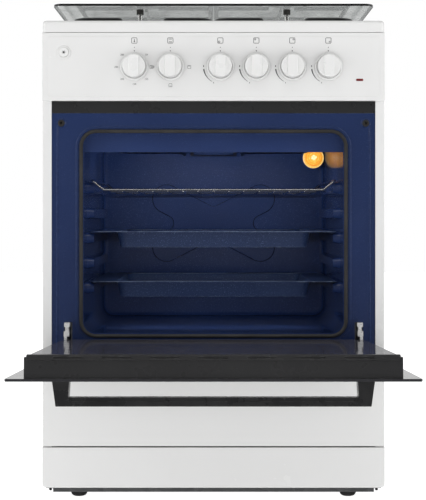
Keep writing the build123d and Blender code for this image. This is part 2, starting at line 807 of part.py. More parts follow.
def door_handle():
    bar_back = door_outer_y - handle_reach + handle_bar_depth
    bar_front = door_outer_y - handle_reach
    middle = door_high - handle_below_top
    low, high = middle - handle_bar_height / 2, middle + handle_bar_height / 2
    x = handle_length / 2
    front_x, root_x = x - handle_outer_taper, x - handle_post_width
    back_x = root_x + handle_inner_taper
    outline = [(x, door_outer_y), (front_x, bar_front), (-front_x, bar_front), (-x, door_outer_y)]
    outline += [(-root_x, door_outer_y), (-back_x, bar_back), (back_x, bar_back), (root_x, door_outer_y)]
    grip = Pos(0, 0, low) * extrude(Polygon(*outline, align=None), amount=high - low)
    grip = chamfer(grip.edges().filter_by(Axis.X).group_by(Axis.Y)[0], 1.2)
    step = 1.8
    for z0, z1 in ((high - step, high + 1), (low - 1, low + step)):
        grip -= block(-back_x, back_x, bar_front + handle_band, bar_back + 1, z0, z1)
    return grip


def turned_door(shape):
    return shape.rotate(Axis((0, hinge_y, hinge_z), (1, 0, 0)), door_open_angle)


# ---- lid ----
def lid_glass():
    middle = (lid_front_y + lid_rear_y) / 2
    pane = slab_z(lid_width, lid_rear_y - lid_front_y, 18, lid_low, lid_low + glass, 0, middle)
    return chamfer(pane.faces().sort_by(Axis.Z)[-1].edges(), 0.6)


def lid_hinge_brackets():
    x = lid_hinge_x
    bracket = block(x - 16, x + 16, lid_axis_y - 12, lid_axis_y + 8, hob_top, hob_top + 2)
    for low in (x - 13, x + 10):
        bracket += block(low, low + 3, lid_axis_y - 8, lid_axis_y + 8, hob_top + 2, lid_axis_z)
        bracket += disc_x(8, low, low + 3, lid_axis_y, lid_axis_z)
    bracket += disc_x(hinge_pin_radius, x - 13, x + 13, lid_axis_y, lid_axis_z)
    return group(both_sides(bracket))


def lid_hinge_clamps():
    x = lid_hinge_x
    grip = 32.0
    low, high = lid_low - 2, lid_low + glass + 2
    clamp = block(x - knuckle_half, x + knuckle_half, lid_rear_y - grip, lid_rear_y + 3, low, lid_low)
    clamp += block(x - knuckle_half, x + knuckle_half, lid_rear_y - grip, lid_rear_y + 3, high - 2, high)
    clamp += block(x - knuckle_half, x + knuckle_half, lid_rear_y, lid_rear_y + 3, low, high)
    clamp += block(x - knuckle_half, x + knuckle_half, lid_rear_y - 2, lid_axis_y, lid_axis_z, low + 1)
    clamp += disc_x(6, x - knuckle_half, x + knuckle_half, lid_axis_y, lid_axis_z)
    clamp -= disc_x(hinge_pin_radius + running_gap, x - 20, x + 20, lid_axis_y, lid_axis_z)
    return group(both_sides(clamp))


def lid_bumpers():
    x, y = 132.0, 65.0
    cap = disc_z(6.4, lid_low - 9, lid_low, x, y)
    cap = fillet(cap.faces().sort_by(Axis.Z)[0].edges(), 1.2)
    bumper = cap + disc_z(4.2, hob_surface + 0.3, lid_low - 8, x, y)
    return group(both_sides(bumper))


# ---- drawer, shelf and trays ----
def drawer_front():
    front = flange_y - 0.4
    return tray_front(half - 0.8, 1.0, front, plinth_high + drawer_gap, drawer_high, 1.2, 0.9)


def drawer_box():
    x, front, wall_low = drawer_box_half, flange_y + 0.6, drawer_box_low + sheet
    back = front + drawer_depth
    floor = block(-x, x, front, back, drawer_box_low, wall_low)
    walls = both_sides(block(x - sheet, x, front, back, wall_low, drawer_box_high))
    for y in (front, back - sheet):
        walls.append(block(-x + sheet, x - sheet, y, y + sheet, wall_low, drawer_box_high))
    pad_low, pad_high = drawer_box_low + 5, drawer_box_high - 5
    pad = block(-x + 20, x - 20, flange_y - 0.4, front, pad_low, pad_high)
    return group([floor, *walls, pad])


def wire_shelf():
    side_z = rib_tops[-1] + slide_gap + shelf_rod
    front, back = tray_front_y, tray_front_y + tray_length - 15
    loop = []
    for y, hands in ((front, (-1, 1)), (back, (1, -1))):
        a, b = hands
        loop += [(a * shelf_half, y, side_z), (a * shelf_flat_half, y, shelf_wire_z)]
        loop += [(b * shelf_flat_half, y, shelf_wire_z), (b * shelf_half, y, side_z)]
    shelf = rod(loop, shelf_rod, 6.0, closed=True)
    drop = shelf_wire_z - shelf_rod - shelf_wire + 0.7
    for wire in range(shelf_wire_count):
        x = (wire - (shelf_wire_count - 1) / 2) * shelf_wire_pitch
        shelf += bar((x, front - 1.6, drop), (x, back + 1, drop), shelf_wire)
        shelf += Pos(x, front - 1.6, drop) * Sphere(shelf_wire)
    middle = (front + back) / 2
    shelf += bar((-shelf_flat_half, middle, shelf_wire_z), (shelf_flat_half, middle, shelf_wire_z), 1.9)
    return shelf


def baking_tray(level):
    rim = level - sheet
    middle = tray_front_y + tray_length / 2
    body_long = tray_length - 2 * tray_flange
    flat = slab_z(2 * tray_half, tray_length, 8, rim, level, 0, middle)
    outline = RectangleRounded(2 * tray_body_half, body_long, 20)
    shell = Pos(0, middle, level) * extrude(outline, amount=-tray_depth, taper=tray_taper)
    inner_outline = RectangleRounded(2 * tray_body_half - 2.2 * sheet, body_long - 2.2 * sheet, 19)
    hollow = Pos(0, middle, level) * extrude(inner_outline, amount=-tray_depth + sheet, taper=tray_taper)
    return flat + shell - hollow


# ---- knobs and button ----
def knob(x, bore, flat_gap=None):
    base = -knob_gap
    body = disc_y(knob_skirt_radius, base - knob_skirt, base, x, knob_z)
    body = fillet(body.faces().sort_by(Axis.Y)[0].edges(), 1.2)
    groove = disc_y(knob_radius + knob_groove, base - knob_skirt - 1, base - 1, x, knob_z)
    body -= groove - disc_y(knob_radius - 0.5, base - knob_skirt - 2, base, x, knob_z)
    barrel = disc_y(knob_radius, knob_face_y, base, x, knob_z)
    body += fillet(barrel.faces().sort_by(Axis.Y)[0].edges(), 2.0)
    band = knob_ridge_width / 2
    ridge = disc_y(knob_radius - 0.6, knob_ridge_y, knob_face_y + 4, x, knob_z)
    ridge = ridge & block(x - band, x + band, knob_ridge_y - 1, 0, knob_z - 40, knob_z + 40)
    body += fillet(ridge.faces().sort_by(Axis.Y)[0].edges(), 1.4)
    hole_end = stem_end_y - 0.5
    if flat_gap is not None:
        hole_end -= push_travel
    hole = disc_y(bore, hole_end, base + 1, x, knob_z)
    if flat_gap is not None:
        flat = stem_radius - 1.2 + flat_gap
        hole -= block(x - 8, x + 8, hole_end - 1, base + 2, knob_z + flat, knob_z + 9)
    recess = disc_y(knob_radius - 3, base - 2, base + 1, x, knob_z)
    recess -= disc_y(bore + 3, base - 3, base + 2, x, knob_z)
    return body - hole - recess


def spindle(x):
    return disc_y(spindle_radius, stem_end_y, 30, x, knob_z)


def ignition_button():
    button = disc_y(button_radius, -3.6, 9, button_x, button_z)
    button = fillet(button.faces().sort_by(Axis.Y)[0].edges(), 1.0)
    return button + disc_y(4.0, 9, 24, button_x, button_z)


# ---- services at the back ----
def terminal_box():
    box = block(gland_x - 35, gland_x + 35, depth - 42, depth - sheet, gland_z - 30, gland_z + 30)
    box = fillet(box.edges().filter_by(Axis.Y), 4)
    gland = disc_y(gland_bore + 4.0, depth - sheet, depth, gland_x, gland_z)
    gland += disc_y(gland_bore + 7.0, depth, depth + 4, gland_x, gland_z)
    gland += disc_y(gland_bore + 4.0, depth + 4, depth + 14, gland_x, gland_z)
    box += gland
    return box - disc_y(gland_bore, depth - 26, depth + 20, gland_x, gland_z)


# ---- all the nodes ----
right_side = side_panel()
nodes = {
    "side_panel_left": mirror(right_side, about=Plane.YZ),
    "side_panel_right": right_side,
    "back_panel": back_panel(),
    "base_pan": base_pan(),
    "drawer_runners": drawer_runners(),
    "adjustable_feet": adjustable_feet(),
    "plinth_panel": plinth_panel(),
    "lower_crossrail": lower_crossrail(),
    "oven_front_frame": oven_front_frame(),
    "oven_liner": oven_liner(),
    "oven_back_wall": oven_back_wall(),
    "oven_insulation": oven_insulation(),
    "oven_gasket": oven_gasket(),
    "door_buffers": door_buffers(),
    "vent_trim": vent_trim(),
    "trim_screws": trim_screws(),
    "control_panel": control_panel(),
    "indicator_lens": indicator_lens(),
    "hob_top": hob_top_sheet(),
    "burner_cups": burner_cups(),
    "burner_caps": burner_caps(),
    "burner_electrodes": burner_electrodes(),
    "pan_supports": pan_supports(),
    "gas_manifold": gas_manifold(),
    "gas_valves": gas_valves(),
    "burner_tubes": burner_tubes(),
    "oven_controls": oven_controls(),
    "heating_elements": group([top_element(), bottom_element()]),
    "oven_lamp_lens": oven_lamp_lens(),
    "oven_lamp_holder": oven_lamp_holder(),
    "hinge_receivers": hinge_receivers(),
    "lid_hinge_brackets": lid_hinge_brackets(),
    "terminal_box": terminal_box(),
    "lid_glass": lid_glass(),
    "lid_hinge_clamps": lid_hinge_clamps(),
    "lid_bumpers": lid_bumpers(),
    "door_outer_glass": turned_door(door_outer_glass()),
    "door_inner_glass": turned_door(door_inner_glass()),
    "door_frame": turned_door(door_frame()),
    "door_top_trim": turned_door(door_top_trim()),
    "door_handle": turned_door(door_handle()),
    "door_hinge_arms": turned_door(group(both_sides(hinge_arm()))),
    "drawer_front": drawer_front(),
    "drawer_box": drawer_box(),
    "wire_shelf": wire_shelf(),
    "baking_tray_upper": baking_tray(levels[2]),
    "baking_tray_lower": baking_tray(levels[0]),
    "thermostat_knob": knob(thermostat_x, spindle_radius),
    "thermostat_spindle": spindle(thermostat_x),
    "selector_knob": knob(selector_x, spindle_radius),
    "selector_spindle": spindle(selector_x),
    "ignition_button": ignition_button(),
}
for burner, place_x in zip(burner_names, burner_knob_x):
    nodes["burner_knob_" + burner] = knob(place_x, stem_radius + running_gap, running_gap)
    nodes["tap_plug_" + burner] = flatted_plug(place_x)

boxes = [shape.bounding_box() for shape in nodes.values()]
front_edge = min(box.min.Y for box in boxes)
back_edge = max(box.max.Y for box in boxes)
shift_y = -(front_edge + back_edge) / 2

os.makedirs("parts", exist_ok=True)
for name, shape in nodes.items():
    export_step(Pos(0, shift_y, 0) * shape, "parts/" + name + ".step")
print("nodes", len(nodes), "shift_y", round(shift_y, 3))
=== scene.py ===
# %% [markdown]
# # A freestanding gas range with its oven door down
# The cabinet, door, drawer, knobs and shelves come from a packed engineering model, the frame.
# Blender's job is the finish: enamel, glass, chrome, printed dials, the oven lamp and the light.
# Everything is in metres, and the frame is never moved or resized.

# %% Load the frame
import json
from math import cos, pi, radians, sin

import bmesh
import bpy
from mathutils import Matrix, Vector


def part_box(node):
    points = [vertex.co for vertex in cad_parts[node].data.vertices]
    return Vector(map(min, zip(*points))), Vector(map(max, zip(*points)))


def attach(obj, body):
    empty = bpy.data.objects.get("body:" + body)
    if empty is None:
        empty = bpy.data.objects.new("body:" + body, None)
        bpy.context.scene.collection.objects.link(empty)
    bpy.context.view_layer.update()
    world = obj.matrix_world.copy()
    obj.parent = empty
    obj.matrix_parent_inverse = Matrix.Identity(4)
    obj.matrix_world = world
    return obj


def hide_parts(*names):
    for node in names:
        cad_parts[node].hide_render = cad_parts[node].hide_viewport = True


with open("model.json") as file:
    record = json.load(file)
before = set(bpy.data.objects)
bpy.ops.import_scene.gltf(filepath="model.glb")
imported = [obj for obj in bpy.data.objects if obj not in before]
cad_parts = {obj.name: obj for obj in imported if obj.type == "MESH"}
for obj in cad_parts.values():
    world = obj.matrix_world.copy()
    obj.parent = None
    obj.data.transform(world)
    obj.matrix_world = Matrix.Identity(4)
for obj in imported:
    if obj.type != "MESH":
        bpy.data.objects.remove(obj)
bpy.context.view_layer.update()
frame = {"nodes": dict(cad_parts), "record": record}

# %% [markdown]
# ## Millimetres from the front panel
# A cooker is easier to talk about from its own front: x to the right, y back from the face of the
# control panel, z up from the floor. The plinth is flush with that face, so its front gives the
# starting plane, and `at` turns such a place into the frame's metres.

# %% Places on the cooker
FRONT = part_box("plinth_panel")[0].y
MM = 0.001


def at(x, y, z):
    return Vector((x * MM, FRONT + y * MM, z * MM))


def middle(node):
    low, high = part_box(node)
    return (low + high) / 2


panel_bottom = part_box("control_panel")[0].z
print("front plane at y =", round(FRONT, 4), "panel from z", round(panel_bottom, 3))

# %% [markdown]
# ## The camera
# The range is seen square on, from a little over two metres, at the height of the oven. A level
# camera keeps the cabinet's sides upright. The lens is a short telephoto, and a small downward
# shift puts the whole range in the frame without tilting the view.

# %% Camera
camera_data = bpy.data.cameras.new("front_camera")
camera_data.sensor_width = 36.0
camera_data.lens = 95.2
camera_data.shift_x = -0.001
camera_data.shift_y = -0.07
camera = bpy.data.objects.new("front_camera", camera_data)
bpy.context.scene.collection.objects.link(camera)
camera.location = at(0, -2315, 500)
camera.rotation_euler = (radians(90), 0, 0)
bpy.context.scene.camera = camera
print("camera at", [round(v, 3) for v in camera.location])

# %% [markdown]
# ## Small mesh tools
# Most added pieces are thin prints or swept strips. Two helpers cover them: one turns lists of
# points and faces into an object that rides a body, the other smooths a mesh but keeps its folds.

# %% Mesh helpers
def smooth(obj, angle=35):
    mesh = obj.data
    mesh.shade_smooth()
    mesh.set_sharp_from_angle(angle=radians(angle))
    return obj


def piece(name, points, faces, material, body):
    mesh = bpy.data.meshes.new(name)
    mesh.from_pydata([tuple(p) for p in points], [], faces)
    work = bmesh.new()
    work.from_mesh(mesh)
    bmesh.ops.remove_doubles(work, verts=work.verts, dist=1e-6)
    bmesh.ops.recalc_face_normals(work, faces=work.faces)
    work.to_mesh(mesh)
    work.free()
    mesh.materials.append(material)
    obj = bpy.data.objects.new(name, mesh)
    bpy.context.scene.collection.objects.link(obj)
    smooth(obj)
    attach(obj, body)
    return obj


# %% [markdown]
# ## Shared effects
# Real finishes share a few effects, so each is a node group with named inputs, built once:
# orange peel and flecks for fired enamel, spangle or brushing for metal, a fine grain for moulded
# plastic, and an edge mask that paints rubbed wear on some finishes and a painted highlight along
# the edges of the blue enamels. The groups give only colours, values and heights; the
# shader itself stays in each material.

# %% Node group tools
def socket(group, name, way, kind, value=None):
    item = group.interface.new_socket(name=name, in_out=way, socket_type="NodeSocket" + kind)
    if value is not None:
        item.default_value = value
    return item


def start_group(name, inputs, outputs):
    group = bpy.data.node_groups.new(name, "ShaderNodeTree")
    for label, kind, value in inputs:
        socket(group, label, "INPUT", kind, value)
    for label, kind in outputs:
        socket(group, label, "OUTPUT", kind)
    return group, group.nodes.new("NodeGroupInput"), group.nodes.new("NodeGroupOutput")


def node(tree, kind, **settings):
    made = tree.nodes.new("ShaderNode" + kind)
    for label, value in settings.items():
        if hasattr(made, label):
            setattr(made, label, value)
        else:
            made.inputs[label.replace("_", " ")].default_value = value
    return made


def noise(tree, vector, scale, detail=2.0, roughness=0.5):
    made = node(tree, "TexNoise")
    made.inputs["Detail"].default_value = detail
    made.inputs["Roughness"].default_value = roughness
    tree.links.new(vector, made.inputs["Vector"])
    if hasattr(scale, "is_linked"):
        tree.links.new(scale, made.inputs["Scale"])
    else:
        made.inputs["Scale"].default_value = scale
    return made.outputs["Fac"]


def remap(tree, value, low, high, to_low=0.0, to_high=1.0):
    made = node(tree, "MapRange")
    for label, number in (("From Min", low), ("From Max", high), ("To Min", to_low), ("To Max", to_high)):
        if hasattr(number, "is_linked"):
            tree.links.new(number, made.inputs[label])
        else:
            made.inputs[label].default_value = number
    tree.links.new(value, made.inputs["Value"])
    return made.outputs["Result"]


def math(tree, operation, first, second):
    made = node(tree, "Math", operation=operation)
    for index, number in enumerate((first, second)):
        if hasattr(number, "is_linked"):
            tree.links.new(number, made.inputs[index])
        else:
            made.inputs[index].default_value = number
    return made.outputs[0]


def mix(tree, factor, first, second):
    made = node(tree, "Mix", data_type="RGBA")
    for label, value in ((0, factor), (6, first), (7, second)):
        if hasattr(value, "is_linked"):
            tree.links.new(value, made.inputs[label])
        else:
            made.inputs[label].default_value = value
    return made.outputs[2]


# %% Fired enamel: orange peel, tone drift and pinpoint flecks
enamel, given, gives = start_group(
    "fired_enamel",
    [
        ("Color", "Color", (0.8, 0.8, 0.8, 1)),
        ("Shade", "Color", (0.7, 0.7, 0.7, 1)),
        ("Fleck Color", "Color", (0.5, 0.5, 0.5, 1)),
        ("Fleck Amount", "Float", 0.1),
        ("Peel Scale", "Float", 300.0),
        ("Gloss", "Float", 0.2),
    ],
    [("Color", "Color"), ("Roughness", "Float"), ("Height", "Float")],
)
where = node(enamel, "TexCoord").outputs["Object"]
drift = remap(enamel, noise(enamel, where, 5.0, 3.0), 0.35, 0.7)
toned = mix(enamel, drift, given.outputs["Color"], given.outputs["Shade"])
speck = remap(enamel, noise(enamel, where, 900.0, 1.0), 0.66, 0.72)
speck = math(enamel, "MULTIPLY", speck, given.outputs["Fleck Amount"])
enamel.links.new(mix(enamel, speck, toned, given.outputs["Fleck Color"]), gives.inputs["Color"])
peel = noise(enamel, where, given.outputs["Peel Scale"], 1.5, 0.4)
enamel.links.new(peel, gives.inputs["Height"])
smear = remap(enamel, noise(enamel, where, 11.0, 4.0, 0.65), 0.3, 0.75, -0.03, 0.05)
enamel.links.new(math(enamel, "ADD", given.outputs["Gloss"], smear), gives.inputs["Roughness"])

# %% Bare metal: crystals or brushing lines
metal, given, gives = start_group(
    "bare_metal",
    [
        ("Color", "Color", (0.6, 0.6, 0.6, 1)),
        ("Dark Color", "Color", (0.4, 0.4, 0.4, 1)),
        ("Crystal Scale", "Float", 90.0),
        ("Line Scale", "Float", 700.0),
        ("Lines", "Float", 0.5),
        ("Roughness", "Float", 0.35),
    ],
    [("Color", "Color"), ("Roughness", "Float"), ("Height", "Float")],
)
where = node(metal, "TexCoord").outputs["Object"]
crystal = node(metal, "TexVoronoi")
metal.links.new(where, crystal.inputs["Vector"])
metal.links.new(given.outputs["Crystal Scale"], crystal.inputs["Scale"])
facet = node(metal, "SeparateColor")
metal.links.new(crystal.outputs["Color"], facet.inputs["Color"])
stretch = node(metal, "Mapping")
stretch.inputs["Scale"].default_value = (0.02, 1.0, 1.0)
metal.links.new(where, stretch.inputs["Vector"])
lines = noise(metal, stretch.outputs["Vector"], given.outputs["Line Scale"], 3.0)
blended = node(metal, "Mix", data_type="FLOAT")
metal.links.new(given.outputs["Lines"], blended.inputs[0])
metal.links.new(facet.outputs[0], blended.inputs[2])
metal.links.new(lines, blended.inputs[3])
value = blended.outputs[0]
tone = mix(metal, value, given.outputs["Dark Color"], given.outputs["Color"])
metal.links.new(tone, gives.inputs["Color"])
spread = math(metal, "MULTIPLY", math(metal, "SUBTRACT", value, 0.5), 0.18)
metal.links.new(math(metal, "ADD", spread, given.outputs["Roughness"]), gives.inputs["Roughness"])
metal.links.new(value, gives.inputs["Height"])

# %% Moulded grain, for plastics and rubber
grain, given, gives = start_group(
    "moulded_grain",
    [
        ("Color", "Color", (0.1, 0.1, 0.1, 1)),
        ("Worn Color", "Color", (0.2, 0.2, 0.2, 1)),
        ("Grain Scale", "Float", 1200.0),
        ("Roughness", "Float", 0.5),
    ],
    [("Color", "Color"), ("Roughness", "Float"), ("Height", "Float")],
)
where = node(grain, "TexCoord").outputs["Object"]
cloud = remap(grain, noise(grain, where, 30.0, 4.0, 0.6), 0.4, 0.75)
tone = mix(grain, cloud, given.outputs["Color"], given.outputs["Worn Color"])
grain.links.new(tone, gives.inputs["Color"])
pebble = noise(grain, where, given.outputs["Grain Scale"], 1.0)
grain.links.new(pebble, gives.inputs["Height"])
polish = math(grain, "MULTIPLY", math(grain, "SUBTRACT", cloud, 0.5), 0.12)
grain.links.new(math(grain, "ADD", polish, given.outputs["Roughness"]), gives.inputs["Roughness"])

# %% Edge tint, rubbed wear on some finishes and a painted highlight on the blue enamels: where a slightly rounded copy of the surface would face another way
edge_wear_and_highlight_group, given, gives = start_group(
    "edge_wear_and_highlight",
    [("Base", "Color", (0, 0, 0, 1)), ("Edge", "Color", (1, 1, 1, 1)), ("Strength", "Float", 0.5)],
    [("Color", "Color")],
)
# The edge colour mixed in here is wear on dark trims and plastics, and a painted highlight on the blue
# enamels.
rounded = node(edge_wear_and_highlight_group, "Bevel")
rounded.samples = 4
rounded.inputs["Radius"].default_value = 0.0012
agree = node(edge_wear_and_highlight_group, "VectorMath", operation="DOT_PRODUCT")
edge_wear_and_highlight_group.links.new(rounded.outputs["Normal"], agree.inputs[0])
edge_wear_and_highlight_group.links.new(node(edge_wear_and_highlight_group, "NewGeometry").outputs["Normal"], agree.inputs[1])
mask = remap(edge_wear_and_highlight_group, agree.outputs["Value"], 0.995, 0.9)
broken = remap(edge_wear_and_highlight_group, noise(edge_wear_and_highlight_group, node(edge_wear_and_highlight_group, "TexCoord").outputs["Object"], 120.0, 4.0), 0.4, 0.6)
mask = math(edge_wear_and_highlight_group, "MULTIPLY", math(edge_wear_and_highlight_group, "MULTIPLY", mask, broken), given.outputs["Strength"])
edge_wear_and_highlight_group.links.new(mix(edge_wear_and_highlight_group, mask, given.outputs["Base"], given.outputs["Edge"]), gives.inputs["Color"])
print("node groups", len(bpy.data.node_groups))

# %% [markdown]
# ## From groups to materials
# `finish` makes a material around one group: the group feeds colour, roughness and a small bump,
# and everything that is the same all over is set straight on the Principled shader.

# %% Material maker
FINISHES = {}


def finish(name, group, values, bump=0.1, distance=0.0002, edge=None, **plain):
    made = bpy.data.materials.new(name)
    made.use_nodes = True
    tree = made.node_tree
    shader = tree.nodes["Principled BSDF"]
    effect = tree.nodes.new("ShaderNodeGroup")
    effect.node_tree = group
    for label, value in values.items():
        effect.inputs[label].default_value = value
    colour = effect.outputs["Color"]
    # Edge colour: rubbed wear on some finishes, a painted highlight along the edges of the blue enamels.
    if edge is not None:
        edge_wear_and_highlight_node = tree.nodes.new("ShaderNodeGroup")
        edge_wear_and_highlight_node.node_tree = edge_wear_and_highlight_group
        edge_wear_and_highlight_node.inputs["Edge"].default_value = edge
        tree.links.new(colour, edge_wear_and_highlight_node.inputs["Base"])
        colour = edge_wear_and_highlight_node.outputs["Color"]
    tree.links.new(colour, shader.inputs["Base Color"])
    tree.links.new(effect.outputs["Roughness"], shader.inputs["Roughness"])
    relief = tree.nodes.new("ShaderNodeBump")
    relief.inputs["Strength"].default_value = bump
    relief.inputs["Distance"].default_value = distance
    tree.links.new(effect.outputs["Height"], relief.inputs["Height"])
    tree.links.new(relief.outputs["Normal"], shader.inputs["Normal"])
    for label, value in plain.items():
        shader.inputs[label.replace("_", " ")].default_value = value
    FINISHES[name] = made
    return made


# %% [markdown]
# ## Enamels
# Steel sheet gets its glass coat by spraying and firing, which leaves a faint orange peel and,
# in the dark blue, tiny lighter specks. The white outside is smoother than the blue oven.

# %% Enamel materials
finish(
    "white_enamel", enamel,
    {"Color": (0.80, 0.80, 0.795, 1), "Shade": (0.78, 0.78, 0.775, 1),
     "Fleck Color": (0.7, 0.7, 0.7, 1),
     "Fleck Amount": 0.05, "Peel Scale": 260.0, "Gloss": 0.24},
    bump=0.05, Coat_Weight=0.25, Coat_Roughness=0.08,
)
# The blue enamel's pale blue edge colour is a painted highlight along its folds, ridges and beads.
finish(
    "blue_enamel", enamel,
    {"Color": (0.011, 0.023, 0.080, 1), "Shade": (0.015, 0.030, 0.098, 1),
     "Fleck Color": (0.10, 0.15, 0.32, 1),
     "Fleck Amount": 0.5, "Peel Scale": 320.0, "Gloss": 0.15},
    bump=0.08, edge=(0.045, 0.085, 0.21, 1), Coat_Weight=0.35, Coat_Roughness=0.05,
)
# The trays' pale blue edge colour is a painted highlight along their rims.
finish(
    "tray_enamel", enamel,
    {"Color": (0.013, 0.024, 0.070, 1), "Shade": (0.018, 0.032, 0.085, 1),
     "Fleck Color": (0.20, 0.28, 0.44, 1),
     "Fleck Amount": 0.8, "Peel Scale": 420.0, "Gloss": 0.30},
    bump=0.14, edge=(0.34, 0.44, 0.60, 1), Coat_Weight=0.2, Coat_Roughness=0.12,
)
finish(
    "black_enamel", enamel,
    {"Color": (0.012, 0.012, 0.013, 1), "Shade": (0.02, 0.02, 0.021, 1),
     "Fleck Color": (0.07, 0.07, 0.07, 1),
     "Fleck Amount": 0.5, "Peel Scale": 700.0, "Gloss": 0.42},
    bump=0.25, edge=(0.09, 0.085, 0.08, 1),
)
finish(
    "dark_trim", enamel,
    {"Color": (0.020, 0.020, 0.021, 1), "Shade": (0.025, 0.025, 0.026, 1),
     "Fleck Color": (0.08, 0.08, 0.08, 1),
     "Fleck Amount": 0.3, "Peel Scale": 900.0, "Gloss": 0.28},
    bump=0.10, edge=(0.14, 0.14, 0.14, 1), Specular_IOR_Level=0.35,
)

# %% [markdown]
# ## Metals
# Zinc-coated sheet shows crystals, the oven shelf is bright chrome, the burner bowls are cast
# aluminium with a brushed face, and the heating elements have gone brown-black with use.

# %% Metal materials
finish(
    "galvanised", metal,
    {"Color": (0.62, 0.63, 0.64, 1), "Dark Color": (0.42, 0.43, 0.45, 1), "Crystal Scale": 110.0,
     "Lines": 0.3, "Roughness": 0.36},
    bump=0.04, Metallic=1.0,
)
finish(
    "zinc_hinge", metal,
    {"Color": (0.92, 0.92, 0.91, 1), "Dark Color": (0.78, 0.78, 0.77, 1), "Crystal Scale": 400.0,
     "Lines": 0.7, "Roughness": 0.30},
    bump=0.05, edge=(0.95, 0.95, 0.93, 1), Metallic=0.35,
)
finish(
    "chrome_wire", metal,
    {"Color": (0.86, 0.86, 0.86, 1), "Dark Color": (0.7, 0.7, 0.71, 1), "Crystal Scale": 60.0,
     "Lines": 0.8, "Roughness": 0.13},
    bump=0.02, Metallic=1.0,
)
finish(
    "aluminium", metal,
    {"Color": (0.74, 0.74, 0.74, 1), "Dark Color": (0.5, 0.5, 0.5, 1), "Crystal Scale": 700.0,
     "Lines": 0.4, "Roughness": 0.38},
    bump=0.12, Metallic=1.0,
)
finish(
    "brass", metal,
    {"Color": (0.72, 0.54, 0.24, 1), "Dark Color": (0.5, 0.35, 0.14, 1), "Crystal Scale": 500.0,
     "Lines": 0.9, "Roughness": 0.3},
    bump=0.06, Metallic=1.0,
)
finish(
    "element_steel", metal,
    {"Color": (0.16, 0.145, 0.135, 1), "Dark Color": (0.06, 0.052, 0.05, 1), "Crystal Scale": 160.0,
     "Lines": 0.5, "Roughness": 0.42},
    bump=0.12, Metallic=1.0,
)

# %% [markdown]
# ## Plastics, rubber, wool and ceramic
# All of these are grain over a nearly flat colour. What sets them apart is the size of the grain
# and how much light it scatters.

# %% Plastic and rubber materials
finish(
    "white_plastic", grain,
    {"Color": (0.80, 0.80, 0.795, 1), "Worn Color": (0.78, 0.78, 0.77, 1),
     "Grain Scale": 1500.0, "Roughness": 0.33},
    bump=0.04, Coat_Weight=0.15, Coat_Roughness=0.2,
)
finish(
    "black_plastic", grain,
    {"Color": (0.016, 0.016, 0.017, 1), "Worn Color": (0.026, 0.026, 0.027, 1),
     "Grain Scale": 1700.0,
     "Roughness": 0.30},
    bump=0.10, edge=(0.08, 0.08, 0.08, 1), Specular_IOR_Level=0.35,
)
finish(
    "rubber_seal", grain,
    {"Color": (0.022, 0.021, 0.020, 1), "Worn Color": (0.040, 0.038, 0.036, 1),
     "Grain Scale": 900.0,
     "Roughness": 0.62},
    bump=0.25,
)
finish(
    "mineral_wool", grain,
    {"Color": (0.50, 0.45, 0.33, 1), "Worn Color": (0.36, 0.31, 0.22, 1),
     "Grain Scale": 240.0, "Roughness": 0.9},
    bump=0.8, distance=0.001,
)
finish(
    "ceramic", grain,
    {"Color": (0.78, 0.76, 0.70, 1), "Worn Color": (0.70, 0.67, 0.60, 1),
     "Grain Scale": 500.0, "Roughness": 0.3},
    bump=0.05, Coat_Weight=0.4,
)
finish(
    "dial_print", grain,
    {"Color": (0.045, 0.045, 0.048, 1), "Worn Color": (0.06, 0.06, 0.065, 1),
     "Grain Scale": 2000.0, "Roughness": 0.45},
    bump=0.02,
)
finish(
    "red_lens", grain,
    {"Color": (0.26, 0.045, 0.050, 1), "Worn Color": (0.20, 0.030, 0.035, 1), "Grain Scale": 700.0,
     "Roughness": 0.12},
    bump=0.03, Coat_Weight=0.6, Transmission_Weight=0.15,
)

# %% [markdown]
# ## Glass
# The lid is clear tempered glass, so it keeps a full transmission. The door panes are tinted and
# backed, and read as black glass with a hard shine. The lamp's cover is pressed amber glass lit
# from inside, so its colour comes mostly from emission, brightest in the middle.

# %% Glass materials
finish(
    "clear_glass", grain,
    {"Color": (0.86, 0.89, 0.88, 1), "Worn Color": (0.83, 0.86, 0.85, 1),
     "Grain Scale": 90.0, "Roughness": 0.06},
    bump=0.003, Transmission_Weight=1.0, IOR=1.5,
)
finish(
    "dark_glass", grain,
    {"Color": (0.022, 0.022, 0.025, 1), "Worn Color": (0.028, 0.028, 0.032, 1), "Grain Scale": 60.0,
     "Roughness": 0.13},
    bump=0.004, Coat_Weight=0.4, Coat_Roughness=0.03,
)
# The inner pane's shine is nearly off (IOR 1.06); its flat bluish grey is a painted reflection of the
# blue oven front.
finish(
    "inner_glass", grain,
    {"Color": (0.082, 0.081, 0.104, 1), "Worn Color": (0.092, 0.091, 0.115, 1), "Grain Scale": 60.0,
     "Roughness": 0.10},
    bump=0.004, IOR=1.06,
)
lamp = finish(
    "lamp_glass", grain,
    {"Color": (0.55, 0.26, 0.05, 1), "Worn Color": (0.45, 0.18, 0.02, 1),
     "Grain Scale": 260.0, "Roughness": 0.15},
    bump=0.3, distance=0.0004, Emission_Strength=0.92, Coat_Weight=0.3,
)
print("materials", len(FINISHES))

